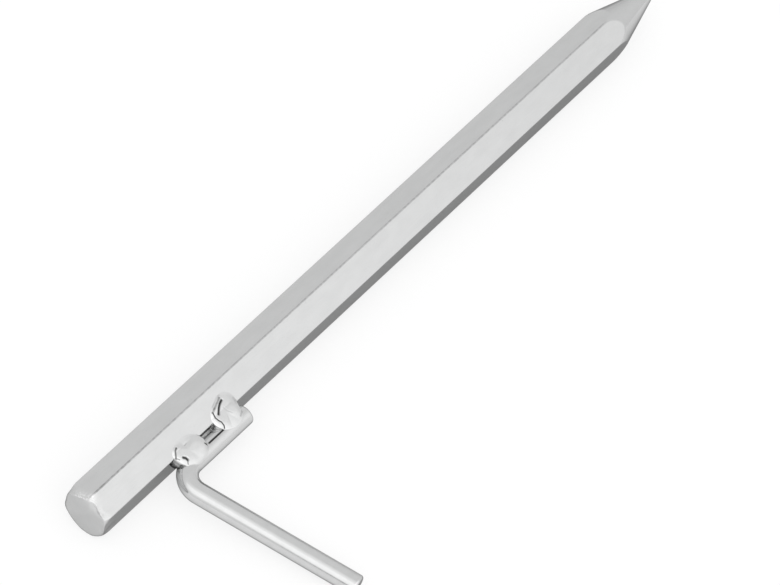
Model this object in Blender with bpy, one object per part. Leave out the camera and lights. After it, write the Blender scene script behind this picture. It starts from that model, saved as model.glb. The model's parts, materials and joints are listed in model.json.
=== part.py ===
"""Tent peg: a pointed bar of hexagonal steel, with an L-shaped hook of round rod welded to one flat.

The pieces are modelled in the bar's own frame: X runs along the bar from its head at 0 to its point, the
hook stands out on the -Y side, and two of the bar's six corners are straight up and straight down. An empty
then lays the peg on the ground as it comes to rest by itself, on its bottom corner and the hook's end.
"""

import math

import bmesh
import bpy
from mathutils import Matrix, Vector

MM = 0.001

# Overall sizes of the bar
PEG_LENGTH = 300.0 * MM
ACROSS_FLATS = 16.0 * MM
CORNER_ROUNDING = 0.25 * MM

# Turned ends of the bar
HEAD_FACE_RADIUS = 8.5 * MM
HEAD_DOME_RADIUS = 7.5 * MM
HEAD_RIM_ROUNDING = 0.35 * MM
POINT_HALF_ANGLE = math.radians(15.0)
POINT_BLEND_RADIUS = 26.0 * MM
POINT_TIP_RADIUS = 0.5 * MM

# Hook of round rod
ROD_RADIUS = 3.55 * MM
HOOK_CORNER_X = 29.4 * MM
HOOK_LEAN = math.radians(10.0)
HOOK_BEND_RADIUS = 7.3 * MM
FREE_LEG_LENGTH = 66.2 * MM
WELDED_LEG_LENGTH = 34.3 * MM
ROD_END_ROUNDING = 0.9 * MM

# The weld lies on a slope over the joint of bar and rod. A place on it is (x, w, n): x along the bar, w up
# the slope from the rod's top to the bar's upper flat, and n outwards
JOINT_SLOPE = math.radians(22.1)

# Outline of each bead as (x, w) in millimetres
BEADS = {
    "weld_bead_near_bend": (
        (35.4, -2.7), (38.2, -2.6), (42.0, -3.5), (44.4, -5.9), (44.8, -7.8), (43.8, -10.2),
        (39.5, -12.2), (35.2, -10.9), (33.2, -8.9), (32.5, -6.5), (32.1, -4.9), (33.5, -3.2),
    ),
    "weld_bead_near_rod_end": (
        (55.0, -1.4), (58.8, -0.1), (61.3, -1.2), (62.5, -3.6), (61.6, -7.2), (61.3, -9.6),
        (58.5, -11.3), (54.6, -10.8), (51.6, -8.8), (50.8, -6.8), (51.0, -4.8), (52.4, -2.7),
    ),
}
BEAD_CROWN = 0.6 * MM
BEAD_EDGE = 0.15 * MM
BEAD_ROOT = 5.6 * MM
BRIDGE_START = -4.5 * MM

# Clearance that each piece keeps from its neighbour
GAP = 0.3 * MM

# Smoothness of the round shapes
TURNED_SIDES = 72
CORNER_STEPS = 4
ROD_SIDES = 28
ROD_END_STEPS = 4
ARC_STEPS = 8
BEND_STEPS = 12
BEAD_RINGS = 5

# Worked out from the sizes above
FLAT_DISTANCE = ACROSS_FLATS / 2
CORNER_DISTANCE = FLAT_DISTANCE / math.cos(math.radians(30.0))
ROD_OFFSET = FLAT_DISTANCE + GAP + ROD_RADIUS
FREE_LEG_DIRECTION = Vector((math.sin(HOOK_LEAN), -math.cos(HOOK_LEAN), 0.0))
HOOK_CORNER = Vector((HOOK_CORNER_X, -ROD_OFFSET, 0.0))


def clear_scene():
    for old in list(bpy.data.objects):
        bpy.data.objects.remove(old, do_unlink=True)


def plated_steel(name, colour, roughness):
    """A zinc-plated steel finish."""
    material = bpy.data.materials.new(name)
    material.use_nodes = True
    shader = material.node_tree.nodes["Principled BSDF"]
    shader.inputs["Base Color"].default_value = (*colour, 1.0)
    shader.inputs["Metallic"].default_value = 1.0
    shader.inputs["Roughness"].default_value = roughness
    return material


def add_object(name, mesh, material=None):
    made = bpy.data.objects.new(name, mesh)
    bpy.context.scene.collection.objects.link(made)
    if material is not None:
        mesh.materials.append(material)
    return made


def mesh_from(name, shape):
    """Closes off a bmesh: faces pointing out, and shaded smooth with its sharp edges kept."""
    bmesh.ops.recalc_face_normals(shape, faces=shape.faces)
    mesh = bpy.data.meshes.new(name)
    shape.to_mesh(mesh)
    shape.free()
    mesh.shade_smooth()
    mesh.set_sharp_from_angle(angle=math.radians(30.0))
    return mesh


def skin_rings(shape, rings):
    """Joins rings of points, all with the same count, into one closed tube with flat ends."""
    made = [[shape.verts.new(point) for point in ring] for ring in rings]
    count = len(made[0])
    for ring, following in zip(made, made[1:]):
        for i in range(count):
            j = (i + 1) % count
            shape.faces.new((ring[i], ring[j], following[j], following[i]))
    shape.faces.new(made[0])
    shape.faces.new(made[-1])


def arc(centre, radius, start, end, steps):
    """Points on an arc in a plane, from one angle to another."""
    points = []
    for i in range(steps + 1):
        angle = start + (end - start) * i / steps
        points.append((centre[0] + radius * math.cos(angle), centre[1] + radius * math.sin(angle)))
    return points


def hexagonal_bar(across_flats, length, start):
    """A plain hexagonal bar along X, with corners straight up and down."""
    radius = across_flats / 2 / math.cos(math.radians(30.0))
    shape = bmesh.new()
    rings = []
    for x in (start, start + length):
        corners = [math.radians(90.0 + 60.0 * i) for i in range(6)]
        rings.append([(x, radius * math.cos(a), radius * math.sin(a)) for a in corners])
    skin_rings(shape, rings)
    return shape


def round_long_edges(shape, rounding):
    long_edges = [e for e in shape.edges if abs(e.verts[0].co.x - e.verts[1].co.x) > rounding]
    bmesh.ops.bevel(
        shape,
        geom=long_edges,
        offset=rounding,
        offset_type="OFFSET",
        segments=CORNER_STEPS,
        profile=0.5,
        affect="EDGES",
    )


def head_profile(outer):
    """Outline of the domed head: its flat face, a small rim rounding, and the dome out to the corners."""
    dome_slope = math.acos(1.0 - (CORNER_DISTANCE - HEAD_FACE_RADIUS) / HEAD_DOME_RADIUS)
    dome_length = HEAD_DOME_RADIUS * math.sin(dome_slope)
    dome_centre = (dome_length, CORNER_DISTANCE - HEAD_DOME_RADIUS)
    dome = arc(dome_centre, HEAD_DOME_RADIUS, math.pi / 2 + dome_slope, math.pi / 2, ARC_STEPS)
    rim = [(0.0, HEAD_FACE_RADIUS - HEAD_RIM_ROUNDING), (0.3 * HEAD_RIM_ROUNDING, HEAD_FACE_RADIUS)]
    return rim + dome[1:] + [(dome_length + MM, outer)]


def point_profile(outer):
    """Outline of the point: a blend from the corners into a long cone, with a small rounded tip."""
    half = POINT_HALF_ANGLE
    apex = PEG_LENGTH + POINT_TIP_RADIUS * (1.0 / math.sin(half) - 1.0)
    cone_start = apex - CORNER_DISTANCE / math.tan(half)
    blend_start = cone_start - POINT_BLEND_RADIUS * math.tan(half / 2)
    blend_centre = (blend_start, CORNER_DISTANCE - POINT_BLEND_RADIUS)
    blend = arc(blend_centre, POINT_BLEND_RADIUS, math.pi / 2, math.pi / 2 - half, ARC_STEPS)
    tip_centre = (PEG_LENGTH - POINT_TIP_RADIUS, 0.0)
    tip = arc(tip_centre, POINT_TIP_RADIUS, math.pi / 2 - half, 0.0, ARC_STEPS // 2)
    return [(blend_start - MM, outer)] + blend + tip[:-1]


def turned_envelope():
    """The round body that the bar's ends are turned to. It clears the corners between the two ends."""
    outer = CORNER_DISTANCE + MM
    profile = head_profile(outer) + point_profile(outer)
    shape = bmesh.new()
    rings = []
    for x, radius in profile:
        turn = [2.0 * math.pi * i / TURNED_SIDES for i in range(TURNED_SIDES)]
        rings.append([(x, radius * math.cos(a), radius * math.sin(a)) for a in turn])
    skin_rings(shape, rings)
    return shape


def hide_tool(tool):
    tool.hide_render = True
    tool.display_type = "WIRE"


def combine(piece, tool, operation):
    modifier = piece.modifiers.new(tool.name, "BOOLEAN")
    modifier.object = tool
    modifier.operation = operation
    modifier.solver = "EXACT"


def make_shank(frame):
    steel = plated_steel("shank_zinc", (0.66, 0.67, 0.66), 0.32)
    shape = hexagonal_bar(ACROSS_FLATS, PEG_LENGTH + 2.0 * MM, -MM)
    round_long_edges(shape, CORNER_ROUNDING)
    shank = add_object("shank", mesh_from("shank", shape), steel)
    envelope = add_object("turned_envelope", mesh_from("turned_envelope", turned_envelope()))
    hide_tool(envelope)
    combine(shank, envelope, "INTERSECT")
    shank.parent = frame
    envelope.parent = frame


def hook_route():
    """Middle line of the hook's rod as (point, direction), from the welded leg's end to the free leg's."""
    along = Vector((1.0, 0.0, 0.0))
    between = along.angle(FREE_LEG_DIRECTION)
    tangent = HOOK_BEND_RADIUS / math.tan(between / 2)
    bisector = (along + FREE_LEG_DIRECTION).normalized()
    centre = HOOK_CORNER + bisector * HOOK_BEND_RADIUS / math.sin(between / 2)
    start = HOOK_CORNER + along * tangent - centre
    sweep = math.pi - between
    route = [(HOOK_CORNER + along * WELDED_LEG_LENGTH, -along)]
    for i in range(BEND_STEPS + 1):
        turn = Matrix.Rotation(sweep * i / BEND_STEPS, 3, "Z")
        route.append((centre + turn @ start, turn @ -along))
    route.append((HOOK_CORNER + FREE_LEG_DIRECTION * FREE_LEG_LENGTH, FREE_LEG_DIRECTION))
    return route


def rod_ring(point, direction, radius):
    """A circle of points square to a direction that lies in the XY plane."""
    side = direction.cross(Vector((0.0, 0.0, 1.0)))
    ring = []
    for i in range(ROD_SIDES):
        angle = 2.0 * math.pi * i / ROD_SIDES
        offset = side * math.cos(angle) + Vector((0.0, 0.0, 1.0)) * math.sin(angle)
        ring.append(point + offset * radius)
    return ring


def rounded_end(point, outward, radius):
    """Rings of a rod's rounded end, from its flat face back to the rod's full radius."""
    rings = []
    for sideways, forward in arc((0.0, 0.0), ROD_END_ROUNDING, 0.0, math.pi / 2, ROD_END_STEPS):
        back = ROD_END_ROUNDING - forward
        rings.append((point - outward * back, radius - ROD_END_ROUNDING + sideways))
    return rings[::-1]


def hook_shape(extra):
    """The hook's rod, thicker all round by extra."""
    route = hook_route()
    radius = ROD_RADIUS + extra
    shape = bmesh.new()
    rings = []
    first, first_heading = route[0]
    for point, size in rounded_end(first - first_heading * extra, -first_heading, radius):
        rings.append(rod_ring(point, first_heading, size))
    for point, heading in route[1:-1]:
        rings.append(rod_ring(point, heading, radius))
    last, last_heading = route[-1]
    for point, size in rounded_end(last + last_heading * extra, last_heading, radius)[::-1]:
        rings.append(rod_ring(point, last_heading, size))
    skin_rings(shape, rings)
    return shape


def make_hook(frame):
    steel = plated_steel("hook_zinc", (0.68, 0.69, 0.68), 0.24)
    hook = add_object("hook", mesh_from("hook", hook_shape(0.0)), steel)
    hook.parent = frame


def filled_level(w):
    """The level of the joint when it is filled: the bar's flat, a straight line, and the rod."""
    rod_w = -ROD_OFFSET * math.cos(JOINT_SLOPE)
    rod_n = ROD_OFFSET * math.sin(JOINT_SLOPE)
    if w < rod_w:
        return rod_n + math.sqrt(ROD_RADIUS**2 - (w - rod_w) ** 2)
    turned = math.radians(30.0) - JOINT_SLOPE
    on_flat = max(w, BRIDGE_START)
    flat = (FLAT_DISTANCE + on_flat * math.sin(turned)) / math.cos(turned)
    share = (min(w, BRIDGE_START) - rod_w) / (BRIDGE_START - rod_w)
    return flat * share + (rod_n + ROD_RADIUS) * (1.0 - share)


def on_joint(x, w, n):
    """A place on the joint in the bar's own frame."""
    across = Vector((0.0, math.cos(JOINT_SLOPE), math.sin(JOINT_SLOPE)))
    outwards = Vector((0.0, -math.sin(JOINT_SLOPE), math.cos(JOINT_SLOPE)))
    return Vector((x, 0.0, 0.0)) + across * w + outwards * n


def rounded_loop(corners):
    """A closed line through the corners, with a point added on a smooth curve halfway along each stretch."""
    loop = []
    count = len(corners)
    for i, corner in enumerate(corners):
        before = corners[i - 1]
        following = corners[(i + 1) % count]
        after = corners[(i + 2) % count]
        loop.append(corner)
        loop.append((9.0 * (corner + following) - before - after) / 16.0)
    return loop


def bead_shape(outline):
    """A low crown over bar and rod, with sides that go down into the joint."""
    loop = rounded_loop([Vector(place) * MM for place in outline])
    middle = sum(loop, Vector((0.0, 0.0))) / len(loop)
    rings = [[on_joint(place.x, place.y, BEAD_ROOT) for place in loop]]
    for i in range(BEAD_RINGS):
        reach = 1.0 - i / BEAD_RINGS
        ring = []
        for place in loop:
            x, w = middle + (place - middle) * reach
            height = filled_level(w) + GAP + BEAD_EDGE + BEAD_CROWN * (1.0 - reach**2)
            ring.append(on_joint(x, w, height))
        rings.append(ring)
    shape = bmesh.new()
    skin_rings(shape, rings)
    return shape


def make_beads(frame):
    steel = plated_steel("weld_zinc", (0.69, 0.70, 0.69), 0.22)
    bar_clearance = add_object(
        "bar_clearance",
        mesh_from("bar_clearance", hexagonal_bar(ACROSS_FLATS + 2.0 * GAP, PEG_LENGTH / 2, -MM)),
    )
    rod_clearance = add_object("rod_clearance", mesh_from("rod_clearance", hook_shape(GAP)))
    for tool in (bar_clearance, rod_clearance):
        hide_tool(tool)
        tool.parent = frame
    for name, outline in BEADS.items():
        bead = add_object(name, mesh_from(name, bead_shape(outline)), steel)
        combine(bead, bar_clearance, "DIFFERENCE")
        combine(bead, rod_clearance, "DIFFERENCE")
        bead.parent = frame


def resting_tilt():
    """Turn about the bar at which its bottom corner and the hook's free leg both touch the ground."""
    corner_radius = CORNER_ROUNDING / math.tan(math.radians(30.0))
    lowest_corner = CORNER_DISTANCE - corner_radius * (1.0 / math.cos(math.radians(30.0)) - 1.0)
    reach = ROD_OFFSET + (FREE_LEG_LENGTH - ROD_END_ROUNDING) * math.cos(HOOK_LEAN)
    return math.acos(ROD_RADIUS / math.hypot(lowest_corner, reach)) - math.atan2(reach, lowest_corner)


def lay_on_ground(frame):
    """Puts the origin under the middle of the peg, on the ground."""
    frame.rotation_euler = (resting_tilt(), 0.0, 0.0)
    bpy.context.view_layer.update()
    graph = bpy.context.evaluated_depsgraph_get()
    corners = []
    for piece in frame.children:
        if not piece.hide_render:
            seen = piece.evaluated_get(graph)
            corners += [seen.matrix_world @ v.co for v in seen.data.vertices]
    low = Vector([min(c[i] for c in corners) for i in range(3)])
    high = Vector([max(c[i] for c in corners) for i in range(3)])
    middle = (low + high) / 2
    frame.location = (-middle.x, -middle.y, -low.z)


def main():
    clear_scene()
    frame = bpy.data.objects.new("lying_peg", None)
    bpy.context.scene.collection.objects.link(frame)
    make_shank(frame)
    make_hook(frame)
    make_beads(frame)
    lay_on_ground(frame)
    bpy.context.view_layer.update()


main()
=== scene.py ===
"""The looks of a tent peg of zinc-plated steel: finely meshed pieces, plated finish, floor, light and camera.

Lengths are in metres. The pieces are modelled in the peg's own frame: X runs along the bar from its head at
0 to its point, the hook stands out on the -Y side, and two of the bar's six corners are straight up and
straight down. Directions round the bar are in degrees from +Y towards +Z. Each point is then placed where
the frame's solids lie.
"""

import json
import math

import bpy
import numpy as np
from mathutils import Matrix, Quaternion, Vector
from mathutils.bvhtree import BVHTree


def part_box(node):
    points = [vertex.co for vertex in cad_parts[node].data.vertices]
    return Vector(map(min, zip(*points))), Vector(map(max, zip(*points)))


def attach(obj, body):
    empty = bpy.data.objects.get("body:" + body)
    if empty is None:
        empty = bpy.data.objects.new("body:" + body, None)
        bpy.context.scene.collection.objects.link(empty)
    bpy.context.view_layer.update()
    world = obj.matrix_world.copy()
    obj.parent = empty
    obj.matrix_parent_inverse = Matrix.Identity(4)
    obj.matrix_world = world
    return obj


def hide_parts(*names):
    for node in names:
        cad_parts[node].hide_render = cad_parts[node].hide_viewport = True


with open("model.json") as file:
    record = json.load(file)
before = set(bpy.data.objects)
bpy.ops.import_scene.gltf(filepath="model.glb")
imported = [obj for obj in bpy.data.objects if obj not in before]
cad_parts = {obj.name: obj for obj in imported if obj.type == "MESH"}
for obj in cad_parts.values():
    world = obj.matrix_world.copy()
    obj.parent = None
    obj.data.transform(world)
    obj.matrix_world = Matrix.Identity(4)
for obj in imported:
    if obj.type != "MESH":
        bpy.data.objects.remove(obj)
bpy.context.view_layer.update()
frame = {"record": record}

MM = 0.001

# The bar. The rounding of a corner takes CORNER_ROUNDING from each flat beside it
SIDES = 6
HALF_SIDE_ANGLE = math.pi / SIDES
ACROSS_FLATS = 16.0 * MM
CORNER_ROUNDING = 0.28 * MM
PEG_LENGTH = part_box("shank")[1].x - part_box("shank")[0].x
FLAT_DISTANCE = ACROSS_FLATS / 2
CORNER_DISTANCE = FLAT_DISTANCE / math.cos(HALF_SIDE_ANGLE)
CORNER_RADIUS = CORNER_ROUNDING / math.tan(HALF_SIDE_ANGLE)
CLEAR_OF_CORNERS = CORNER_DISTANCE + 1.0 * MM
BAR_RINGS = 80

# The dark line along the bar's top corner, which gets darker towards the head
CORNER_DARK_LINE = 0.3
CORNER_DARK_LINE_AT_HEAD = 0.3
CORNER_DARK_LINE_FALL = 20.0 * MM

# The head, which is the bar's cropped end and is swollen on its lower side
HEAD_LENGTH = 6.0 * MM
HEAD_SWELLING_LENGTH = 2.5 * MM
HEAD_RIM_ROUNDING = 0.3 * MM
HEAD_EDGE_SOFTNESS = 0.32 * MM
HEAD_DENT_POWER = 9

# The head's rim: direction, and in millimetres the face's radius, the bevel's length and the rim's dent
HEAD_RIM = (
    (0.0, 7.75, 1.0, 0.0),
    (30.0, 8.25, 3.4, 0.0),
    (46.0, 7.35, 2.2, 0.0),
    (62.0, 7.2, 2.1, 0.0),
    (76.0, 7.7, 2.0, 0.0),
    (91.0, 8.2, 2.9, 0.2),
    (108.0, 8.1, 1.4, 0.9),
    (127.0, 7.5, 1.1, 0.2),
    (150.0, 8.5, 2.0, 0.0),
    (180.0, 7.85, 1.0, 0.0),
    (210.0, 8.6, 2.0, 0.0),
    (226.0, 8.8, 2.0, 0.0),
    (244.0, 9.1, 2.0, 0.0),
    (268.0, 9.0, 2.4, 0.0),
    (285.0, 8.65, 2.0, 0.0),
    (300.0, 8.4, 2.0, 0.0),
    (330.0, 8.4, 2.4, 0.0),
)

# Where the head's rim has painted shade, and where it has a painted highlight: direction, width in degrees,
# strength
HEAD_PAINTED_SHADE = ((290.0, 90.0, 0.75), (128.0, 14.0, 0.3))
HEAD_PAINTED_HIGHLIGHT = ((78.0, 30.0, 0.5),)

# How fast these marks fade: a power of the share of the radius on the face, and a share of the bevel's length
FACE_MARK_POWER = 40
BEVEL_MARK_END = 1.3

# The head's rings: shares of the radius on the face, then how many on the rounding and along the side
HEAD_FACE_RINGS = ((0.02, 0.8, 7), (0.82, 0.99, 13))
HEAD_ROUNDING_RINGS = 8
HEAD_SIDE_RINGS = 50

# The turned point, whose cone has denser rings over the first share of its length
POINT_HALF_ANGLE = math.radians(15.0)
POINT_BLEND_RADIUS = 26.0 * MM
POINT_TIP_RADIUS = 0.5 * MM
POINT_EDGE_SOFTNESS = 0.12 * MM
POINT_BLEND_STEPS = 44
POINT_TIP_STEPS = 7
CONE_DENSE_SHARE = 0.12
CONE_DENSE_RINGS = 16
CONE_RINGS = 34

# The hook, whose rod lies just off the bar's flat
ROD_RADIUS = 3.55 * MM
ROD_GAP = 0.02 * MM
ROD_OFFSET = FLAT_DISTANCE + ROD_RADIUS + ROD_GAP
HOOK_CORNER_X = 29.4 * MM
HOOK_LEAN = math.radians(10.0)
HOOK_BEND_RADIUS = 7.3 * MM
FREE_LEG_LENGTH = 66.2 * MM
WELDED_LEG_LENGTH = 34.3 * MM
ROD_END_ROUNDING = 0.9 * MM
ROD_END_RINGS = (0.25, 0.6)
HOOK_CORNER = Vector((HOOK_CORNER_X, -ROD_OFFSET, 0.0))
FREE_LEG_DIRECTION = Vector((math.sin(HOOK_LEAN), -math.cos(HOOK_LEAN), 0.0))

# Dark lines on the rod: painted shade of an undercut along its top between the beads, and a dark line down
# the free leg that darkens towards its end
UNDERCUT_ANGLE = 4.6
UNDERCUT_START = 44.9 * MM
UNDERCUT_END = 53.0 * MM
LEG_DARK_LINE_ANGLE = 142.0
LEG_DARK_LINE_HALF_WIDTH = 3.0
LEG_DARK_LINE_START = 0.3
LEG_DARK_LINE_END = 0.98
LEG_DARK_LINE_STRENGTH = 0.75

# The weld. A place on the joint is (x, w, n): x along the bar, w up the slope from the rod's top to the bar's
# upper flat, and n outwards. The rows are the directions of w and n in the YZ plane
JOINT_SLOPE = math.radians(22.1)
JOINT = np.array((
    (math.cos(JOINT_SLOPE), math.sin(JOINT_SLOPE)),
    (-math.sin(JOINT_SLOPE), math.cos(JOINT_SLOPE)),
))

# Where rays towards the steel start on the joint, and the lowest level that they report
JOINT_FAR = 20.0 * MM
JOINT_LOWEST = 3.0 * MM

# The level that the weld fills the joint to: the bar's flat, whose slope goes through the bar's corner at
# CORNER_W and CORNER_N, then a straight line over the joint, and then the rod
FLAT_SLOPE = math.tan(HALF_SIDE_ANGLE - JOINT_SLOPE)
CORNER_W = -5.67 * MM
CORNER_N = 7.286 * MM
BRIDGE_START = -4.5 * MM
BRIDGE_END = -10.44 * MM

# The beads' grid, its reach past their outlines, and how far front and back are sunk into the steel
BEAD_GRID = 0.12 * MM
BEAD_REACH = 2.0 * MM
BEAD_SINK = 0.03 * MM
BEAD_BACK = 0.3 * MM

# Each bead's crown above that level, and its outline: x and w in millimetres and its side's slope in degrees
BEADS = {
    "weld_bead_near_bend": (0.6 * MM, (
        (38.2, -2.6, 11.0), (42.0, -3.5, 11.0), (44.4, -5.9, 30.0), (44.8, -7.8, 45.0), (43.8, -10.2, 18.0),
        (39.5, -12.2, 9.0), (35.2, -10.9, 20.0), (33.2, -8.9, 38.0), (32.5, -6.5, 45.0), (32.1, -4.9, 38.0),
        (33.5, -3.2, 38.0), (35.4, -2.7, 18.0),
    )),
    "weld_bead_near_rod_end": (0.65 * MM, (
        (58.8, -0.1, 14.0), (61.3, -1.2, 10.0), (62.5, -3.6, 14.0), (61.6, -7.2, 45.0), (61.3, -9.6, 20.0),
        (58.5, -11.3, 9.0), (54.6, -10.8, 9.0), (51.6, -8.8, 40.0), (50.8, -6.8, 42.0), (51.0, -4.8, 38.0),
        (52.4, -2.7, 38.0), (55.0, -1.4, 34.0),
    )),
}

# An outline's step in degrees and how often it is smoothed, and the power of the most rounded crown
OUTLINE_STEP = 3.0
OUTLINE_SOFTNESS = 20
LEAST_CROWN_POWER = 1.7

# Outside its outline a bead's side goes down this steeply and this deep, and meets the steel with a blend
SIDE_BELOW = math.tan(math.radians(74.0))
SIDE_DEPTH = 1.5 * MM
TOE_BLEND = 0.2 * MM

# Marks on the beads: groove depth, painted shade along the groove, half width, and the line it follows in
# millimetres
MARKS = {
    "weld_bead_near_bend": (
        (0.14, 0.9, 0.3, ((35.0, -3.5), (34.2, -3.9), (33.4, -4.9), (32.6, -5.9))),
        (0.1, 0.8, 0.2, ((32.6, -5.9), (33.2, -6.9))),
        (0.3, 1.0, 0.48, ((34.7, -7.2), (35.2, -7.8), (35.3, -8.5))),
        (0.15, 0.6, 0.3, ((35.2, -8.8), (34.6, -9.6))),
        (0.02, 0.3, 0.2, ((37.7, -4.7), (38.8, -4.5))),
        (0.18, 0.8, 0.3, ((43.8, -8.5), (44.3, -9.5), (44.9, -9.8))),
        (0.03, 0.35, 0.24, ((44.2, -9.6), (43.2, -11.0))),
    ),
    "weld_bead_near_rod_end": (
        (0.12, 0.7, 0.36, ((58.0, -1.0), (56.5, -1.6), (54.5, -2.4), (52.9, -3.1))),
        (0.0, 0.25, 0.55, ((58.2, -0.6), (56.6, -1.2), (54.5, -1.9))),
        (0.28, 1.0, 0.42, ((58.1, -2.1), (56.9, -2.5), (55.7, -3.3), (54.1, -4.8))),
        (0.12, 1.0, 0.25, (
            (52.9, -3.2), (52.4, -4.9), (52.6, -6.2), (53.0, -7.2), (52.9, -8.5), (52.5, -9.3),
        )),
        (0.03, 0.35, 0.32, ((59.8, -9.8), (61.0, -9.2), (62.2, -9.0))),
        (0.0, 0.25, 0.5, ((62.0, -4.2), (61.6, -6.0))),
        (0.03, 0.06, 0.2, ((57.0, -4.1), (57.3, -5.8), (58.2, -7.2))),
    ),
}

# The side of the bead near the bend that faces the head has painted shade below the bar's corner, darker
# where it sinks deeper into the joint
FRONT_END = 34.0 * MM
FRONT_DEPTH = 0.45 * MM
FRONT_PAINTED_SHADE = 0.6
FRONT_PAINTED_SHADE_POWER = 3

# Between the beads the weld's root lies low in the joint, dull and with painted shade, as a part of
# ROOTED_BEAD
ROOTED_BEAD = "weld_bead_near_rod_end"
ROOT_HEIGHT = 5.2 * MM
ROOT_START = 42.5 * MM
ROOT_END = 54.0 * MM
ROOT_BLEND = 0.2 * MM
ROOT_PAINTED_SHADE = 0.7

# Each plating's shade and roughness, and how often its drawn lines come per millimetre along X, Y and Z
PLATINGS = {
    "bar_zinc": (0.63, 0.13, (0.03, 3.0, 3.0)),
    "rod_zinc": (0.63, 0.15, (0.5, 0.5, 2.0)),
    "weld_zinc": (0.68, 0.1, (0.6, 0.6, 0.6)),
}
GRAZING_TINT = 0.29

# The waves per millimetre of the plating's other noises, and two levels of detail
CLOUD_NOISE = (0.12, 0.25, 0.25)
PIT_NOISE = (3.0, 3.0, 3.0)
BREAKUP_NOISE = (0.9, 0.9, 0.9)
FLECK_NOISE = (1.6, 1.6, 1.6)
FINE_DETAIL = 3.0
COARSE_DETAIL = 2.0

# The part of each noise's range over which its effect goes from least to most
CLOUD_RANGE = (0.3, 0.7)
LINE_RANGE = (0.35, 0.75)
PIT_RANGE = (0.66, 0.74)
BREAKUP_RANGE = (0.4, 0.6)
FLECK_RANGE = (0.42, 0.58)

# Shades in the plating, the least and most that each is mixed in, and what each does to the roughness
CLOUD_TINTS = ((1.02, 1.025, 1.025), (0.975, 0.98, 0.98))
CLOUD_ROUGHNESS = (-0.02, 0.03)
LINE_SHADE = 0.3
LINE_MIX = (0.0, 0.035)
PIT_SHADE = 0.25
PIT_MIX = (0.0, 0.35)
# The painted highlight on the head's bevel
PAINTED_HIGHLIGHT_GREY = 0.95
PAINTED_HIGHLIGHT_MIX = (0.2, 1.0)
# The painted shade and the dark lines
PAINTED_SHADE_AND_DARK_LINE_GREY = 0.04
PAINTED_SHADE_AND_DARK_LINE_MIX = (0.55, 1.0)
PAINTED_SHADE_AND_DARK_LINE_ROUGHNESS = 0.25

# The relief of the drawn lines, and how deep the pits are beside it
RELIEF_STRENGTH = 0.25
RELIEF_DEPTH = 0.004 * MM
PIT_RELIEF = -1.5

# Places of the colour sockets on a Mix node, whose names are shared with its other sockets
MIX_FIRST = 6
MIX_SECOND = 7
MIX_RESULT = 2

# The floor, and how much of it is white of its own where it is seen and where it is mirrored
FLOOR_HALF = 8.0
FLOOR_SHADE = 0.95
FLOOR_ROUGHNESS = 0.9
FLOOR_SEEN_WHITE = 0.72
FLOOR_MIRRORED_WHITE = 0.48

# The studio's brightness all round, and its glows: azimuth, elevation, reach in degrees, added brightness
WORLD_LEVEL = 0.9
WORLD_GLOWS = ((-100.0, 35.0, 60.0, 0.46), (-165.0, 52.0, 50.0, 0.33))

# The soft panel behind the head, and the brightness that it adds to what is seen there, where 1 is white
PANEL_AZIMUTH = 180.0
PANEL_ELEVATION = 44.0
PANEL_DISTANCE = 3.0
PANEL_WIDTH = 3.6
PANEL_HEIGHT = 1.95
PANEL_BRIGHTNESS = 0.2

# Camera: the photograph's viewing angle
VIEW_AZIMUTH = math.radians(-60.819)
VIEW_ELEVATION = math.radians(52.821)
VIEW_ROLL = math.radians(11.872)
VIEW_DISTANCE = 1361.3 * MM
VIEW_TARGET = Vector((-18.11 * MM, 19.22 * MM, 9.08 * MM))
LENS = 195.18


def peg_placement():
    """The matrix from the peg's own frame to the world, read from the frame's bar and the flat it names."""
    low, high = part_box("shank")
    middle = (low + high) / 2
    flat = next(m for m in frame["record"]["mounts"] if m["name"] == "shank_flat_behind_hook")
    tilt = math.atan2(flat["axis"][2], flat["axis"][1])
    place = Matrix.Translation((low.x, middle.y, middle.z))
    return place @ Matrix.Rotation(tilt, 4, "X")


PLACEMENT = peg_placement()
TURN = np.array(PLACEMENT.to_3x3())


def in_world(points):
    """Points of the peg's own frame, as rows, in the world."""
    return points @ TURN.T + np.array(PLACEMENT.translation)


def arc(centre, radius, start, end, steps):
    """Points on an arc in a plane, from one angle to another."""
    turn = np.linspace(start, end, steps + 1)
    return np.column_stack((centre[0] + radius * np.cos(turn), centre[1] + radius * np.sin(turn)))


def unit(vectors):
    """Vectors with a length of 1."""
    return vectors / np.linalg.norm(vectors, axis=-1)[..., None]


def store(mesh, name, values):
    """Keep one number or one vector per vertex for the materials."""
    kind, slot = ("FLOAT", "value") if values.ndim == 1 else ("FLOAT_VECTOR", "vector")
    kept = mesh.attributes.new(name, kind, "POINT")
    kept.data.foreach_set(slot, values.astype(np.float32).ravel())


def smooth_mesh(name, places, faces, normals, painted_shade_and_dark_lines):
    """A smooth mesh of places in the peg's frame, which its materials know, with a share of painted shade and
    dark lines.
    """
    mesh = bpy.data.meshes.new(name)
    mesh.from_pydata(in_world(places).tolist(), [], faces)
    mesh.shade_smooth()
    if normals is not None:
        mesh.normals_split_custom_set_from_vertices((normals @ TURN.T).tolist())
    store(mesh, "place_on_peg", places)
    store(mesh, "painted_shade_and_dark_lines", painted_shade_and_dark_lines)
    mesh.update()
    return mesh


def with_end_points(values):
    """The values of the rings' points in a row, and a zero for each point that closes an end."""
    return np.append(values, (0.0, 0.0))


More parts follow.
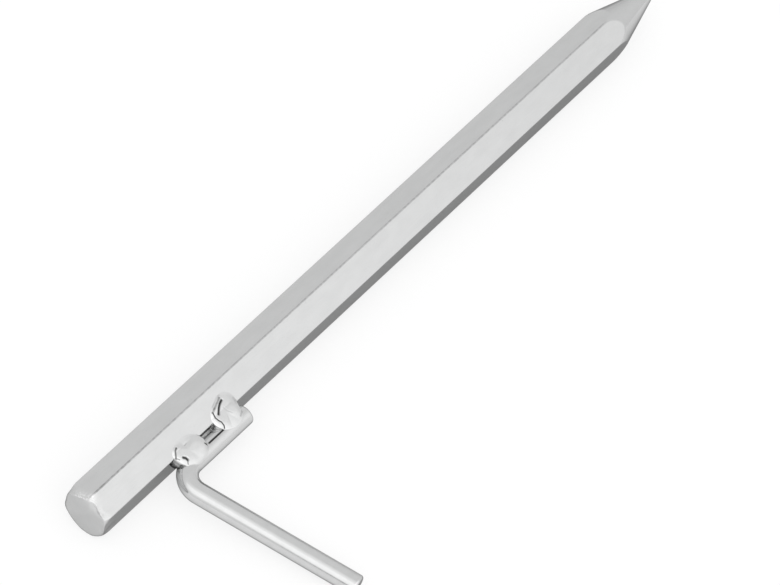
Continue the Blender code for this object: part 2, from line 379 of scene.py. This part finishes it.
def mesh_of_rings(name, rings, normals, painted_shade_and_dark_lines):
    """A closed mesh of rings of points, with a middle point closing each end."""
    rows, columns = rings.shape[:2]
    ends = [rings[0].mean(0), rings[-1].mean(0)]
    places = np.concatenate((rings.reshape(-1, 3), ends))
    shading = np.concatenate((normals.reshape(-1, 3), unit(normals[[0, -1]].mean(axis=1))))
    first, last = rows * columns, rows * columns + 1
    faces = []
    for i in range(columns):
        j = (i + 1) % columns
        faces.append((first, j, i))
        for k in range(rows - 1):
            a, b = k * columns, (k + 1) * columns
            faces.append((a + i, a + j, b + j, b + i))
        faces.append((last, (rows - 1) * columns + i, (rows - 1) * columns + j))
    return smooth_mesh(name, places, faces, shading, with_end_points(painted_shade_and_dark_lines))


def add_piece(name, mesh, material, node):
    """A piece of the peg that stands for a CAD node."""
    piece = bpy.data.objects.new(name, mesh)
    bpy.context.scene.collection.objects.link(piece)
    mesh.materials.append(material)
    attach(piece, "root")
    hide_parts(node)
    return piece


def bar_outline(flat_steps=36, corner_steps=6):
    """The bar's cross-section: points, outward directions, and a 1 for those on its top corner."""
    points, outward, top = [], [], []
    centre_distance = (FLAT_DISTANCE - CORNER_RADIUS) / math.cos(HALF_SIDE_ANGLE)
    half_flat = FLAT_DISTANCE * math.tan(HALF_SIDE_ANGLE) - CORNER_ROUNDING
    for number in range(SIDES):
        towards = math.pi / 2 + 2.0 * HALF_SIDE_ANGLE * number
        centre = centre_distance * np.array((math.cos(towards), math.sin(towards)))
        for step in range(corner_steps + 1):
            turn = towards + HALF_SIDE_ANGLE * (2.0 * step / corner_steps - 1.0)
            direction = np.array((math.cos(turn), math.sin(turn)))
            points.append(centre + CORNER_RADIUS * direction)
            outward.append(direction)
            top.append(1.0 if number == 0 else 0.0)
        turn = towards + HALF_SIDE_ANGLE
        direction = np.array((math.cos(turn), math.sin(turn)))
        along = np.array((-math.sin(turn), math.cos(turn)))
        for step in range(1, flat_steps):
            offset = half_flat * (2.0 * step / flat_steps - 1.0)
            points.append(FLAT_DISTANCE * direction + offset * along)
            outward.append(direction)
            top.append(0.0)
    return np.array(points), np.array(outward), np.array(top)


def cut_softly(reach, turned, softness):
    """A reach cut down to a turned radius with a soft edge, and how far each place is cut, from 0 to 1."""
    cut = np.clip(0.5 + 0.5 * (reach - turned) / softness, 0.0, 1.0)
    return reach * (1.0 - cut) + turned * cut - softness * cut * (1.0 - cut), cut


def head_rim(angle):
    """Radius of the head's flat face, length of its bevel and dent of its rim, smooth from row to row."""
    rows = np.array(HEAD_RIM)
    rows = np.vstack((rows, rows[0] + (360.0, 0.0, 0.0, 0.0)))
    numbers = np.arange(len(rows))
    place = np.interp(angle % 360.0, rows[:, 0], numbers)
    share = place - np.floor(place)
    place = np.floor(place) + share**2 * (3.0 - 2.0 * share)
    return [np.interp(place, numbers, rows[:, column]) * MM for column in (1, 2, 3)]


def head_stations():
    """The head's rings, as columns: how far each is from the face, and its share of the face's radius."""
    turn = np.radians(np.linspace(0.0, 90.0, HEAD_ROUNDING_RINGS))
    rounding = HEAD_RIM_ROUNDING * (1.0 - np.cos(turn))
    side = np.linspace(HEAD_RIM_ROUNDING, HEAD_LENGTH, HEAD_SIDE_RINGS)[1:]
    face = np.concatenate([np.linspace(*stretch) for stretch in HEAD_FACE_RINGS])
    x = np.concatenate((np.zeros(len(face)), rounding, side))
    share = np.concatenate((face, np.ones(len(rounding) + len(side))))
    return x[:, None], share[:, None]


def head_rings(angle, direction, reach):
    """Points and normals of the head's rings, how far each point is cut, and how near the rim it is."""
    face, bevel, dent = head_rim(angle)
    x, share = head_stations()
    before_side = 1.0 - np.minimum(x / HEAD_RIM_ROUNDING, 1.0)
    lost = HEAD_RIM_ROUNDING * (1.0 - np.sqrt(1.0 - before_side**2))
    turned = share * (face + np.abs(reach - face) * x / bevel - lost)
    swollen = reach + np.maximum(face - reach, 0.0) * np.exp(-((x / HEAD_SWELLING_LENGTH) ** 2))
    radius, cut = cut_softly(swollen, turned, HEAD_EDGE_SOFTNESS)
    rings = np.empty(radius.shape + (3,))
    rings[..., 0] = x + dent * share**HEAD_DENT_POWER * (1.0 - x / HEAD_LENGTH) ** 2
    rings[..., 1:] = radius[..., None] * direction
    around = np.roll(rings, -1, axis=1) - np.roll(rings, 1, axis=1)
    normals = unit(np.cross(around, np.gradient(rings, axis=0)))
    on_bevel = cut * np.clip(BEVEL_MARK_END - x / bevel, 0.0, 1.0)
    near_rim = np.where(x > 0.0, on_bevel, share**FACE_MARK_POWER)
    return rings, normals, cut, near_rim


def point_profile():
    """Stations (x, radius) of the point, from the blend at the corners to near the tip."""
    half = POINT_HALF_ANGLE
    apex = PEG_LENGTH + POINT_TIP_RADIUS * (1.0 / math.sin(half) - 1.0)
    cone_start = apex - CORNER_DISTANCE / math.tan(half)
    blend_start = cone_start - POINT_BLEND_RADIUS * math.tan(half / 2)
    blend_centre = (blend_start, CORNER_DISTANCE - POINT_BLEND_RADIUS)
    tip_centre = (PEG_LENGTH - POINT_TIP_RADIUS, 0.0)
    square = math.pi / 2
    blend = arc(blend_centre, POINT_BLEND_RADIUS, square, square - half, POINT_BLEND_STEPS)
    tip = arc(tip_centre, POINT_TIP_RADIUS, square - half, 0.0, POINT_TIP_STEPS)[:-1]
    dense = np.linspace(0.0, CONE_DENSE_SHARE, CONE_DENSE_RINGS)
    share = np.append(dense, np.linspace(CONE_DENSE_SHARE, 1.0, CONE_RINGS)[1:])[1:-1, None]
    cone = blend[-1] + (tip[0] - blend[-1]) * share
    return np.concatenate((blend, cone, tip))


def bar_rings(direction, reach, outward):
    """Points and normals of the rings from the head to the tip, and how far each point is cut."""
    point = point_profile()
    plain_x = np.linspace(HEAD_LENGTH, point[0, 0], BAR_RINGS)[1:-1]
    plain = np.column_stack((plain_x, np.full(len(plain_x), CLEAR_OF_CORNERS)))
    stations = np.concatenate((plain, point))
    slope = unit(np.concatenate((np.tile((1.0, 0.0), (len(plain), 1)), np.gradient(point, axis=0))))
    radius, cut = cut_softly(reach, stations[:, 1, None], POINT_EDGE_SOFTNESS)
    rings = np.empty(radius.shape + (3,))
    rings[..., 0] = stations[:, 0, None]
    rings[..., 1:] = radius[..., None] * direction
    normals = np.empty_like(rings)
    normals[..., 0] = -slope[:, 1, None] * cut
    normals[..., 1:] = slope[:, 0, None, None] * direction * cut[..., None]
    normals[..., 1:] += outward * (1.0 - cut[..., None])
    return rings, unit(normals), cut


def rim_marks(angle, marks):
    """How strong the marks on the head's rim are in these directions."""
    total = np.zeros(angle.shape)
    for towards, width, strength in marks:
        away = (angle - towards + 180.0) % 360.0 - 180.0
        total += strength * np.exp(-((away / width) ** 4))
    return total


def shank_mesh():
    """The hexagonal bar with its cropped head, cut by the turned outline of its point."""
    outline, outward, top = bar_outline()
    reach = np.linalg.norm(outline, axis=1)
    direction = unit(outline)
    angle = np.degrees(np.arctan2(direction[:, 1], direction[:, 0]))
    head, head_normals, head_cut, near_rim = head_rings(angle, direction, reach)
    bar, bar_normals, bar_cut = bar_rings(direction, reach, outward)
    rings = np.concatenate((head, bar))
    cut = np.concatenate((head_cut, bar_cut))
    # A dark line along the top corner, darker towards the head
    corner_dark_line = CORNER_DARK_LINE + CORNER_DARK_LINE_AT_HEAD * np.exp(-rings[..., 0] / CORNER_DARK_LINE_FALL)
    painted_shade_and_dark_lines = top * corner_dark_line * (1.0 - cut)
    # Painted shade on the head's rim
    painted_shade_and_dark_lines[: len(head)] += rim_marks(angle, HEAD_PAINTED_SHADE) * near_rim
    # A painted highlight on the head's bevel
    painted_highlight = np.zeros(painted_shade_and_dark_lines.shape)
    painted_highlight[: len(head)] = rim_marks(angle, HEAD_PAINTED_HIGHLIGHT) * near_rim * (head[..., 0] > 0.0)
    mesh = mesh_of_rings("shank", rings, np.concatenate((head_normals, bar_normals)), painted_shade_and_dark_lines)
    store(mesh, "painted_highlight", with_end_points(painted_highlight))
    return mesh


def hook_route(bend_steps=48, leg_steps=50):
    """Middle line of the hook's rod as (point, direction), from the welded leg's end to the free leg's."""
    along = Vector((1.0, 0.0, 0.0))
    between = along.angle(FREE_LEG_DIRECTION)
    tangent = HOOK_BEND_RADIUS / math.tan(between / 2)
    bisector = (along + FREE_LEG_DIRECTION).normalized()
    centre = HOOK_CORNER + bisector * HOOK_BEND_RADIUS / math.sin(between / 2)
    start = HOOK_CORNER + along * tangent - centre
    sweep = math.pi - between
    route = []
    for i in range(leg_steps):
        share = 1.0 - i / leg_steps
        reach = tangent + (WELDED_LEG_LENGTH - tangent - ROD_END_ROUNDING) * share
        route.append((HOOK_CORNER + along * reach, -along))
    for i in range(bend_steps + 1):
        turn = Matrix.Rotation(sweep * i / bend_steps, 3, "Z")
        route.append((centre + turn @ start, turn @ -along))
    for i in range(1, leg_steps + 1):
        reach = tangent + (FREE_LEG_LENGTH - tangent - ROD_END_ROUNDING) * i / leg_steps
        route.append((HOOK_CORNER + FREE_LEG_DIRECTION * reach, FREE_LEG_DIRECTION))
    return route


def rod_ring(point, direction, radius, lean, sides):
    """A ring of points square to a direction in the XY plane, and its normals, leaned by an angle."""
    turn = np.linspace(0.0, 2.0 * math.pi, sides, endpoint=False)
    side = np.array(direction.cross(Vector((0.0, 0.0, 1.0))))
    out = np.outer(np.cos(turn), side) + np.outer(np.sin(turn), (0.0, 0.0, 1.0))
    ring = np.array(point) + radius * out
    normal = out * math.cos(lean) + np.array(direction) * math.sin(lean)
    return ring, normal


def hook_mesh(sides=96, end_steps=9):
    """The bent rod with its rounded ends."""
    route = hook_route()
    flat = ROD_RADIUS - ROD_END_ROUNDING
    stations = [(share * flat, 1.0, math.pi / 2) for share in ROD_END_RINGS]
    for i in range(end_steps + 1):
        turn = math.pi / 2 * (1.0 - i / end_steps)
        stations.append((flat + ROD_END_ROUNDING * math.cos(turn), math.sin(turn), turn))
    rings = []
    first, heading = route[0]
    for radius, forward, turn in stations:
        centre = first - heading * ROD_END_ROUNDING * forward
        rings.append(rod_ring(centre, heading, radius, -turn, sides))
    for point, direction in route[1:-1]:
        rings.append(rod_ring(point, direction, ROD_RADIUS, 0.0, sides))
    last, heading = route[-1]
    for radius, forward, turn in stations[::-1]:
        centre = last + heading * ROD_END_ROUNDING * forward
        rings.append(rod_ring(centre, heading, radius, turn, sides))
    points = np.array([ring for ring, _ in rings])[:, ::-1]
    normals = np.array([normal for _, normal in rings])[:, ::-1]
    return mesh_of_rings("hook", points, normals, rod_painted_shade_and_dark_lines(points, normals))


def rod_painted_shade_and_dark_lines(points, normals):
    """Where the rod's dark lines are, as a share per point: painted shade of the undercut, and the line down
    the free leg.
    """
    x, y = points[..., 0], points[..., 1]
    # Painted shade of an undercut along the rod's top between the beads
    top = np.degrees(np.arccos(np.clip(normals[..., 2], -1.0, 1.0))) < UNDERCUT_ANGLE
    undercut = top & (x > UNDERCUT_START) & (x < UNDERCUT_END) & (y > -ROD_OFFSET - ROD_RADIUS)
    # A dark line down the free leg, darker towards its end
    reach = (HOOK_CORNER.y - y) / FREE_LEG_LENGTH
    angle = 90.0 + np.degrees(np.arctan2(-normals[..., 0], normals[..., 2]))
    leg_dark_line = np.abs(angle - LEG_DARK_LINE_ANGLE) < LEG_DARK_LINE_HALF_WIDTH
    leg_dark_line &= (reach > LEG_DARK_LINE_START) & (reach < LEG_DARK_LINE_END)
    return np.where(undercut, 1.0, np.where(leg_dark_line, LEG_DARK_LINE_STRENGTH * reach**2, 0.0))


def smooth_highest(a, b, blend):
    """The higher of two surfaces, with a rounded corner where they cross."""
    share = np.clip(0.5 + 0.5 * (b - a) / blend, 0.0, 1.0)
    return a * (1.0 - share) + b * share + blend * share * (1.0 - share)


def joint_to_peg(x, w, n):
    """Places on the joint as points of the peg's own frame."""
    return np.concatenate((x[..., None], np.stack((w, n), axis=-1) @ JOINT), axis=-1)


def steel_tree(pieces):
    """The surfaces of these pieces, for finding how far out the steel reaches."""
    corners, faces = [], []
    for piece in pieces:
        faces += [tuple(v + len(corners) for v in face.vertices) for face in piece.data.polygons]
        corners += [vertex.co for vertex in piece.data.vertices]
    return BVHTree.FromPolygons(corners, faces)


def steel_heights(tree, x, w):
    """How far out the bar or the rod reaches at each place of the joint."""
    start = in_world(joint_to_peg(x, w, np.full_like(x, JOINT_FAR)))
    inwards = Vector(TURN @ np.array((0.0, -JOINT[1, 0], -JOINT[1, 1])))
    heights = np.full(x.shape, JOINT_LOWEST)
    for place in np.ndindex(x.shape):
        spot, _, _, distance = tree.ray_cast(Vector(start[place]), inwards, JOINT_FAR)
        if spot is not None:
            heights[place] = max(JOINT_FAR - distance, JOINT_LOWEST)
    return heights


def filled_level(w):
    """The level of the joint when it is filled: the bar's flat, a straight line, and the rod."""
    flat = CORNER_N + FLAT_SLOPE * (w - CORNER_W)
    middle = (-ROD_OFFSET, 0.0) @ JOINT.T
    rod = middle[1] + np.sqrt(np.clip(ROD_RADIUS**2 - (w - middle[0]) ** 2, 0.0, None))
    start = CORNER_N + FLAT_SLOPE * (BRIDGE_START - CORNER_W)
    end = middle[1] + math.sqrt(ROD_RADIUS**2 - (BRIDGE_END - middle[0]) ** 2)
    bridge = start + (end - start) * (w - BRIDGE_START) / (BRIDGE_END - BRIDGE_START)
    return np.where(w > BRIDGE_START, flat, np.where(w < BRIDGE_END, rod, bridge))


def bead_surface(x, w, crown, outline):
    """The outer surface of a bead: a low crown inside its outline, and a side that goes down outside it."""
    outline = np.array(outline)
    middle = outline[:, :2].mean(0) * MM
    offset = outline[:, :2] * MM - middle
    turn = np.arctan2(offset[:, 1], offset[:, 0])
    bearings = np.radians(np.arange(-180.0, 180.0, OUTLINE_STEP))
    edge = np.interp(bearings, turn, np.hypot(*offset.T), period=2.0 * math.pi)
    side = np.interp(bearings, turn, np.tan(np.radians(outline[:, 2])), period=2.0 * math.pi)
    for _ in range(OUTLINE_SOFTNESS):
        edge = (np.roll(edge, 1) + 2.0 * edge + np.roll(edge, -1)) / 4.0
        side = (np.roll(side, 1) + 2.0 * side + np.roll(side, -1)) / 4.0
    bearing = np.arctan2(w - middle[1], x - middle[0])
    reach = np.hypot(x - middle[0], w - middle[1])
    edge = np.interp(bearing, bearings, edge, period=2.0 * math.pi)
    side = np.interp(bearing, bearings, side, period=2.0 * math.pi)
    power = np.maximum(side * edge / crown, LEAST_CROWN_POWER)
    inside = crown * (1.0 - np.clip(reach / edge, 0.0, 1.0) ** power)
    return filled_level(w) + inside - SIDE_BELOW * np.clip(reach - edge, 0.0, None)


def closeness(x, w, line, half_width):
    """How near each place is to a line of straight stretches, from 1 on it to 0 away from it."""
    nearest = np.full(x.shape, np.inf)
    for (x0, w0), (x1, w1) in zip(line[:-1], line[1:]):
        along = np.array((x1 - x0, w1 - w0)) * MM
        share = ((x - x0 * MM) * along[0] + (w - w0 * MM) * along[1]) / (along @ along)
        share = np.clip(share, 0.0, 1.0)
        gap = np.hypot(x - x0 * MM - share * along[0], w - w0 * MM - share * along[1])
        nearest = np.minimum(nearest, gap)
    return np.exp(-((nearest / (half_width * MM)) ** 4))


def bead_grid(name):
    """The places x and w of a bead's grid. The rooted bead's grid starts where the root does."""
    outline = BEADS[name][1]
    low = np.min(outline, axis=0)[:2] * MM - BEAD_REACH
    high = np.max(outline, axis=0)[:2] * MM + BEAD_REACH
    if name == ROOTED_BEAD:
        low[0] = ROOT_START
    columns, rows = np.ceil((high - low) / BEAD_GRID).astype(int) + 1
    steps = low[0] + BEAD_GRID * np.arange(columns), low[1] + BEAD_GRID * np.arange(rows)
    return np.meshgrid(*steps, indexing="ij")


def marked_bead(name, x, w):
    """The outer surface of a bead with its grooves, and the painted shade in its grooves and on its front."""
    surface = bead_surface(x, w, *BEADS[name])
    painted_shade_and_dark_lines = np.zeros(x.shape)
    # Painted shade along each mark's groove
    for depth, painted_mark_shade, half_width, line in MARKS[name]:
        near = closeness(x, w, line, half_width)
        surface = surface - depth * MM * near
        painted_shade_and_dark_lines = np.maximum(painted_shade_and_dark_lines, painted_mark_shade * near)
    # Painted shade on the bead's front, below the bar's corner
    front = (w < CORNER_W) & (x < FRONT_END)
    below = np.clip((filled_level(w) - surface) / FRONT_DEPTH, 0.0, 1.0)
    painted_front_shade = np.where(front, FRONT_PAINTED_SHADE * below**FRONT_PAINTED_SHADE_POWER, 0.0)
    return surface, np.maximum(painted_shade_and_dark_lines, painted_front_shade)


def bead_mesh(name, tree):
    """A weld bead laid over bar and rod, where it stands out, and closed at the back inside the steel."""
    x, w = bead_grid(name)
    steel = steel_heights(tree, x, w)
    surface, painted_shade_and_dark_lines = marked_bead(name, x, w)
    weld = smooth_highest(steel, surface, TOE_BLEND)
    if name == ROOTED_BEAD:
        # Painted shade on the low root between the beads
        root = np.where((x > ROOT_START) & (x < ROOT_END), ROOT_HEIGHT, 0.0)
        painted_shade_and_dark_lines = np.maximum(painted_shade_and_dark_lines, np.clip((root - weld) / ROOT_BLEND + 1.0, 0.0, 1.0) * ROOT_PAINTED_SHADE)
        weld = smooth_highest(weld, root, ROOT_BLEND)
    shallow = surface > filled_level(w) - SIDE_DEPTH
    kept = (weld - steel > 0.5 * BEAD_SINK) & (shallow | (x > ROOT_START))
    cell = kept[:-1, :-1] | kept[1:, :-1] | kept[:-1, 1:] | kept[1:, 1:]
    front = joint_to_peg(x, w, weld - BEAD_SINK)
    back = joint_to_peg(x, w, np.maximum(steel - BEAD_BACK, weld - 2.0 * SIDE_DEPTH))
    return closed_sheet(name, front, back, cell, painted_shade_and_dark_lines)


def closed_sheet(name, front, back, cell, painted_shade_and_dark_lines):
    """A closed mesh between two grids of points, over the cells of the grid that are kept."""
    columns, rows = front.shape[:2]
    used = np.zeros((columns, rows), dtype=bool)
    for i in (0, 1):
        for j in (0, 1):
            used[i: columns - 1 + i, j: rows - 1 + j] |= cell
    number = np.full((columns, rows), -1)
    number[used] = np.arange(used.sum())
    count = int(used.sum())
    places = np.concatenate((front[used], back[used]))
    faces = []
    for i, j in np.argwhere(cell):
        corners = [int(c) for c in (number[i, j], number[i + 1, j], number[i + 1, j + 1], number[i, j + 1])]
        faces.append(tuple(corners))
        faces.append(tuple(c + count for c in corners[::-1]))
        neighbours = ((i, j - 1), (i + 1, j), (i, j + 1), (i - 1, j))
        for k, (a, b) in enumerate(neighbours):
            inside = 0 <= a < cell.shape[0] and 0 <= b < cell.shape[1] and cell[a, b]
            if not inside:
                p, q = corners[k], corners[(k + 1) % 4]
                faces.append((q, p, p + count, q + count))
    return smooth_mesh(name, places, faces, None, np.concatenate((painted_shade_and_dark_lines[used], painted_shade_and_dark_lines[used])))


def add_node(tree, kind, **values):
    """A shader node with some of its inputs set. An underscore stands for a space in an input's name."""
    made = tree.nodes.new(kind)
    for name, value in values.items():
        made.inputs[name.replace("_", " ")].default_value = value
    return made


def math_node(tree, operation, first, second):
    """A Math node whose inputs are sockets or numbers."""
    made = tree.nodes.new("ShaderNodeMath")
    made.operation = operation
    for socket, value in zip(made.inputs, (first, second)):
        if isinstance(value, (int, float)):
            socket.default_value = value
        else:
            tree.links.new(value, socket)
    return made.outputs[0]


def kept_on_mesh(tree, name, output):
    """What the mesh keeps under a name, as a vector or as a number."""
    made = tree.nodes.new("ShaderNodeAttribute")
    made.attribute_name = name
    return made.outputs[output]


def noise(tree, place, waves, detail):
    """Noise on the peg's own places, with its waves per millimetre along each of its axes."""
    scaled = tree.nodes.new("ShaderNodeVectorMath")
    scaled.operation = "MULTIPLY"
    scaled.inputs[1].default_value = [count / MM for count in waves]
    tree.links.new(place, scaled.inputs[0])
    made = add_node(tree, "ShaderNodeTexNoise", Scale=1.0, Detail=detail)
    tree.links.new(scaled.outputs[0], made.inputs["Vector"])
    return made.outputs[0]


def spread(tree, value, start, end, low, high):
    """A value taken from one range to another, and kept inside it."""
    made = add_node(tree, "ShaderNodeMapRange", From_Min=start, From_Max=end, To_Min=low, To_Max=high)
    tree.links.new(value, made.inputs["Value"])
    return made.outputs["Result"]


def mixed_colour(tree, share, first, second):
    """A colour between two, each a grey level, a colour or a socket."""
    made = tree.nodes.new("ShaderNodeMix")
    made.data_type = "RGBA"
    tree.links.new(share, made.inputs["Factor"])
    for place, colour in ((MIX_FIRST, first), (MIX_SECOND, second)):
        if isinstance(colour, float):
            colour = (colour, colour, colour)
        if isinstance(colour, tuple):
            made.inputs[place].default_value = colour + (1.0,)
        else:
            tree.links.new(colour, made.inputs[place])
    return made.outputs[MIX_RESULT]


def painted_highlight_share(tree, place):
    """How much painted highlight the plating has, in flecks."""
    highlight_marked = kept_on_mesh(tree, "painted_highlight", "Fac")
    flecks = spread(tree, noise(tree, place, FLECK_NOISE, COARSE_DETAIL), *FLECK_RANGE, *PAINTED_HIGHLIGHT_MIX)
    return math_node(tree, "MULTIPLY", highlight_marked, flecks)


def painted_shade_and_dark_line_share(tree, place):
    """How far painted shade and dark lines cover the plating, broken up where there is little of them."""
    marked = kept_on_mesh(tree, "painted_shade_and_dark_lines", "Fac")
    breaks = spread(tree, noise(tree, place, BREAKUP_NOISE, FINE_DETAIL), *BREAKUP_RANGE, *PAINTED_SHADE_AND_DARK_LINE_MIX)
    return math_node(tree, "MULTIPLY", marked, math_node(tree, "MAXIMUM", breaks, marked))


def zinc_plating(name, shade, roughness, drawn):
    """Bright zinc plating: faint clouds, drawn lines where the steel has them, fine pits, a painted
    highlight, and painted shade and dark lines.
    """
    material = bpy.data.materials.new(name)
    material.use_nodes = True
    tree = material.node_tree
    shader = tree.nodes["Principled BSDF"]
    shader.inputs["Metallic"].default_value = 1.0
    shader.inputs["Specular Tint"].default_value = (GRAZING_TINT, GRAZING_TINT, GRAZING_TINT, 1.0)
    place = kept_on_mesh(tree, "place_on_peg", "Vector")

    clouds = noise(tree, place, CLOUD_NOISE, FINE_DETAIL)
    lines = noise(tree, place, drawn, COARSE_DETAIL)
    pits = spread(tree, noise(tree, place, PIT_NOISE, FINE_DETAIL), *PIT_RANGE, *PIT_MIX)
    painted_shade_and_dark_lines = painted_shade_and_dark_line_share(tree, place)

    light, dim = [tuple(shade * channel for channel in tint) for tint in CLOUD_TINTS]
    colour = mixed_colour(tree, spread(tree, clouds, *CLOUD_RANGE, 0.0, 1.0), light, dim)
    colour = mixed_colour(tree, spread(tree, lines, *LINE_RANGE, *LINE_MIX), colour, LINE_SHADE)
    colour = mixed_colour(tree, pits, colour, PIT_SHADE)
    # A painted highlight where the mesh marks one
    colour = mixed_colour(tree, painted_highlight_share(tree, place), colour, PAINTED_HIGHLIGHT_GREY)
    # Painted shade and dark lines where the mesh marks them
    colour = mixed_colour(tree, painted_shade_and_dark_lines, colour, PAINTED_SHADE_AND_DARK_LINE_GREY)
    tree.links.new(colour, shader.inputs["Base Color"])

    rough = math_node(tree, "ADD", spread(tree, clouds, *CLOUD_RANGE, *CLOUD_ROUGHNESS), roughness)
    rough = math_node(tree, "ADD", rough, math_node(tree, "MULTIPLY", painted_shade_and_dark_lines, PAINTED_SHADE_AND_DARK_LINE_ROUGHNESS))
    tree.links.new(rough, shader.inputs["Roughness"])

    height = math_node(tree, "ADD", lines, math_node(tree, "MULTIPLY", pits, PIT_RELIEF))
    bump = add_node(tree, "ShaderNodeBump", Strength=RELIEF_STRENGTH, Distance=RELIEF_DEPTH)
    tree.links.new(height, bump.inputs["Height"])
    tree.links.new(bump.outputs["Normal"], shader.inputs["Normal"])
    return material


def floor_material():
    """Pale and matt. Part of what is seen of the floor is white of its own, which leaves a soft shadow."""
    material = bpy.data.materials.new("floor_white")
    material.use_nodes = True
    tree = material.node_tree
    matt = tree.nodes["Principled BSDF"]
    matt.inputs["Base Color"].default_value = (FLOOR_SHADE, FLOOR_SHADE, FLOOR_SHADE, 1.0)
    matt.inputs["Roughness"].default_value = FLOOR_ROUGHNESS
    matt.inputs["Specular IOR Level"].default_value = 0.0
    white = add_node(tree, "ShaderNodeEmission", Strength=1.0)
    rays = tree.nodes.new("ShaderNodeLightPath")
    seen = math_node(tree, "MULTIPLY", rays.outputs["Is Camera Ray"], FLOOR_SEEN_WHITE)
    mirrored = math_node(tree, "MAXIMUM", rays.outputs["Is Glossy Ray"], rays.outputs["Is Transmission Ray"])
    mirrored = math_node(tree, "MULTIPLY", mirrored, FLOOR_MIRRORED_WHITE)
    mix = tree.nodes.new("ShaderNodeMixShader")
    tree.links.new(math_node(tree, "MAXIMUM", seen, mirrored), mix.inputs[0])
    tree.links.new(matt.outputs[0], mix.inputs[1])
    tree.links.new(white.outputs[0], mix.inputs[2])
    tree.links.new(mix.outputs[0], tree.nodes["Material Output"].inputs["Surface"])
    return material


def make_floor():
    """A wide flat floor under the peg."""
    half = FLOOR_HALF
    corners = [(-half, -half, 0.0), (half, -half, 0.0), (half, half, 0.0), (-half, half, 0.0)]
    mesh = bpy.data.meshes.new("floor")
    mesh.from_pydata(corners, [], [(0, 1, 2, 3)])
    floor = bpy.data.objects.new("floor", mesh)
    bpy.context.scene.collection.objects.link(floor)
    mesh.materials.append(floor_material())


def compass(azimuth, elevation):
    """The direction at an azimuth from +X towards +Y and an elevation, in degrees."""
    a, e = math.radians(azimuth), math.radians(elevation)
    return Vector((math.cos(a) * math.cos(e), math.sin(a) * math.cos(e), math.sin(e)))


def make_world():
    """A pale studio all round, a little brighter on the hook's side and behind the head."""
    world = bpy.data.worlds.new("studio")
    world.use_nodes = True
    tree = world.node_tree
    place = tree.nodes.new("ShaderNodeTexCoord").outputs["Generated"]
    total = WORLD_LEVEL
    for azimuth, elevation, reach, brighter in WORLD_GLOWS:
        dot = tree.nodes.new("ShaderNodeVectorMath")
        dot.operation = "DOT_PRODUCT"
        dot.inputs[1].default_value = compass(azimuth, elevation)
        tree.links.new(place, dot.inputs[0])
        glow = add_node(tree, "ShaderNodeMapRange", From_Min=math.cos(math.radians(reach)), To_Max=brighter)
        glow.interpolation_type = "SMOOTHSTEP"
        tree.links.new(dot.outputs["Value"], glow.inputs["Value"])
        total = math_node(tree, "ADD", glow.outputs["Result"], total)
    tree.links.new(total, tree.nodes["Background"].inputs["Strength"])
    tree.nodes["Background"].inputs["Color"].default_value = (1.0, 1.0, 1.0, 1.0)
    bpy.context.scene.world = world


def make_panel():
    """The soft lamp behind the head, turned towards the peg."""
    towards = compass(PANEL_AZIMUTH, PANEL_ELEVATION)
    lamp = bpy.data.lights.new("panel_behind_the_head", "AREA")
    lamp.shape = "RECTANGLE"
    lamp.size = PANEL_WIDTH
    lamp.size_y = PANEL_HEIGHT
    lamp.energy = PANEL_BRIGHTNESS * math.pi * PANEL_WIDTH * PANEL_HEIGHT
    panel = bpy.data.objects.new("panel_behind_the_head", lamp)
    bpy.context.scene.collection.objects.link(panel)
    panel.location = towards * PANEL_DISTANCE
    panel.rotation_mode = "QUATERNION"
    panel.rotation_quaternion = (-towards).to_track_quat("-Z", "Y")
    panel.visible_camera = False


def make_camera():
    """The camera, at the photograph's viewing angle."""
    forward = Vector((
        -math.sin(VIEW_AZIMUTH) * math.cos(VIEW_ELEVATION),
        math.cos(VIEW_AZIMUTH) * math.cos(VIEW_ELEVATION),
        -math.sin(VIEW_ELEVATION),
    ))
    lens = bpy.data.cameras.new("camera")
    lens.lens = LENS
    camera = bpy.data.objects.new("camera", lens)
    bpy.context.scene.collection.objects.link(camera)
    camera.location = VIEW_TARGET - forward * VIEW_DISTANCE
    camera.rotation_mode = "QUATERNION"
    camera.rotation_quaternion = forward.to_track_quat("-Z", "Y") @ Quaternion((0.0, 0.0, 1.0), VIEW_ROLL)
    bpy.context.scene.camera = camera


make_camera()
zinc = {name: zinc_plating(name, *look) for name, look in PLATINGS.items()}
shank = add_piece("zinc_shank", shank_mesh(), zinc["bar_zinc"], "shank")
hook = add_piece("zinc_hook", hook_mesh(), zinc["rod_zinc"], "hook")
steel = steel_tree((shank, hook))
for name in BEADS:
    add_piece("zinc_" + name, bead_mesh(name, steel), zinc["weld_zinc"], name)
make_floor()
make_world()
make_panel()
bpy.context.scene.view_settings.view_transform = "Standard"
